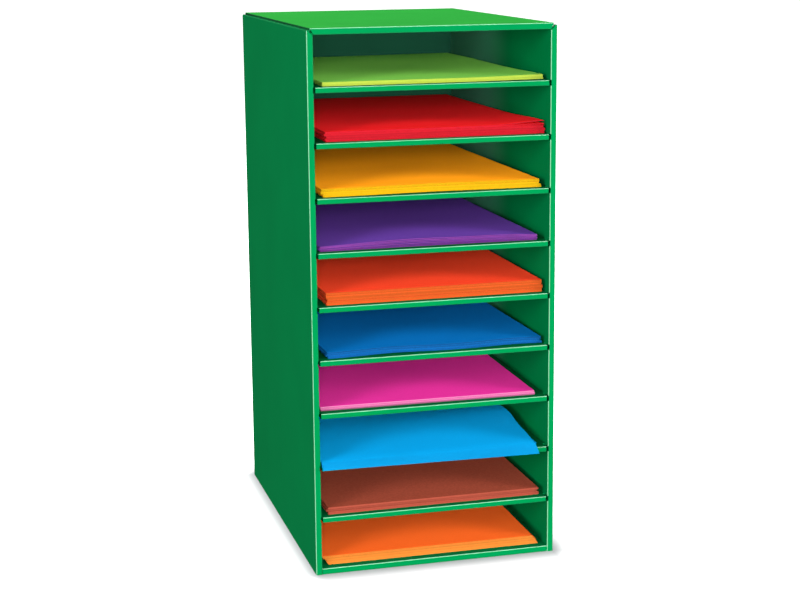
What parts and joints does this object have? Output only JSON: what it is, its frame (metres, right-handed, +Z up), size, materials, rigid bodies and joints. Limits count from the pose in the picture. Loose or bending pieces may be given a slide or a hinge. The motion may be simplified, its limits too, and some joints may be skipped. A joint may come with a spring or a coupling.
{
  "type": "paper storage organizer",
  "caption": "Tall open-front organizer of creased green corrugated board, its fixed shelves holding stacks of large coloured paper, with a few sheets drawn forward from one slot.",
  "frame": {"origin": "centre of the casing's footprint, on the surface it stands on", "axes": "+Z up, +Y from the open front to the back, +X to the right as seen from the front"},
  "size_m": [0.343, 0.4869, 0.743],
  "materials": {
    "green_board": "coated corrugated board, satin green, pale at the creases",
    "tangerine_paper": "matt construction paper",
    "brown_paper": "matt construction paper",
    "light_blue_paper": "matt construction paper",
    "pink_paper": "matt construction paper",
    "blue_paper": "matt construction paper",
    "orange_paper": "matt construction paper",
    "purple_paper": "matt construction paper",
    "yellow_paper": "matt construction paper",
    "red_paper": "matt construction paper",
    "lime_paper": "matt construction paper"
  },
  "bodies": {
    "casing": {"left_wall": "green_board", "right_wall": "green_board", "top_panel": "green_board", "bottom_panel": "green_board", "back_panel": "green_board", "shelf_1": "green_board", "shelf_2": "green_board", "shelf_3": "green_board", "shelf_4": "green_board", "shelf_5": "green_board", "shelf_6": "green_board", "shelf_7": "green_board", "shelf_8": "green_board", "shelf_9": "green_board"},
    "tangerine_stack": {"paper_tangerine": "tangerine_paper"},
    "brown_stack": {"paper_brown": "brown_paper"},
    "light_blue_stack": {"paper_light_blue": "light_blue_paper"},
    "pink_stack": {"paper_pink": "pink_paper"},
    "blue_stack": {"paper_blue": "blue_paper"},
    "orange_stack": {"paper_orange": "orange_paper"},
    "purple_stack": {"paper_purple": "purple_paper"},
    "yellow_stack": {"paper_yellow": "yellow_paper"},
    "red_stack": {"paper_red": "red_paper"},
    "lime_stack": {"paper_lime": "lime_paper"},
    "drawn_sheets": {"drawn_sheet": "light_blue_paper"}
  },
  "joints": [
    {"name": "tangerine_stack_slide", "type": "slide", "parent": "casing", "child": "tangerine_stack", "axis": [0, -1, 0], "range_m": [0, 0.48]},
    {"name": "brown_stack_slide", "type": "slide", "parent": "casing", "child": "brown_stack", "axis": [0, -1, 0], "range_m": [0, 0.48]},
    {"name": "light_blue_stack_slide", "type": "slide", "parent": "casing", "child": "light_blue_stack", "axis": [0, -1, 0], "range_m": [0, 0.48]},
    {"name": "pink_stack_slide", "type": "slide", "parent": "casing", "child": "pink_stack", "axis": [0, -1, 0], "range_m": [0, 0.48]},
    {"name": "blue_stack_slide", "type": "slide", "parent": "casing", "child": "blue_stack", "axis": [0, -1, 0], "range_m": [0, 0.48]},
    {"name": "orange_stack_slide", "type": "slide", "parent": "casing", "child": "orange_stack", "axis": [0, -1, 0], "range_m": [0, 0.48]},
    {"name": "purple_stack_slide", "type": "slide", "parent": "casing", "child": "purple_stack", "axis": [0, -1, 0], "range_m": [0, 0.48]},
    {"name": "yellow_stack_slide", "type": "slide", "parent": "casing", "child": "yellow_stack", "axis": [0, -1, 0], "range_m": [0, 0.48]},
    {"name": "red_stack_slide", "type": "slide", "parent": "casing", "child": "red_stack", "axis": [0, -1, 0], "range_m": [0, 0.48]},
    {"name": "lime_stack_slide", "type": "slide", "parent": "casing", "child": "lime_stack", "axis": [0, -1, 0], "range_m": [0, 0.48]},
    {"name": "drawn_sheets_slide", "type": "slide", "parent": "light_blue_stack", "child": "drawn_sheets", "axis": [0, -1, 0], "range_m": [0, 0.48]}
  ]
}
